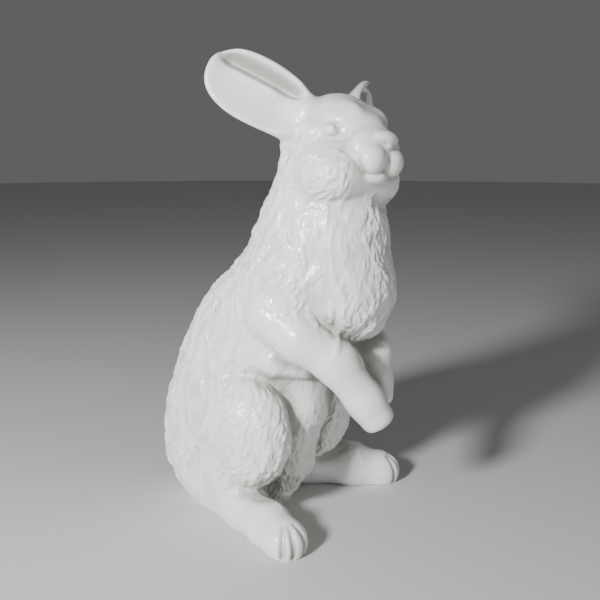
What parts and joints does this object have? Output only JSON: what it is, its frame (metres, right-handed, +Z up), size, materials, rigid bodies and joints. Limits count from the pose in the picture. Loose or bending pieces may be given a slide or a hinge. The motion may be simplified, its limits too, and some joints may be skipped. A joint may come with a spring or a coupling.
{
  "type": "hare sculpture",
  "caption": "White glossy hare figure sitting up on its haunches, forepaws held out, head turned and ears spread, carved coat, flat underside.",
  "frame": {"origin": "on the flat underside, below the front of the belly, midway between the hind feet's hocks", "axes": "+Z up, -Y the way the hare's body faces, +X its own left"},
  "size_m": [0.2075, 0.2404, 0.3912],
  "materials": {
    "white_glaze": "glossy white paint over a cast body"
  },
  "bodies": {
    "root": {"hare": "white_glaze"}
  },
  "joints": []
}
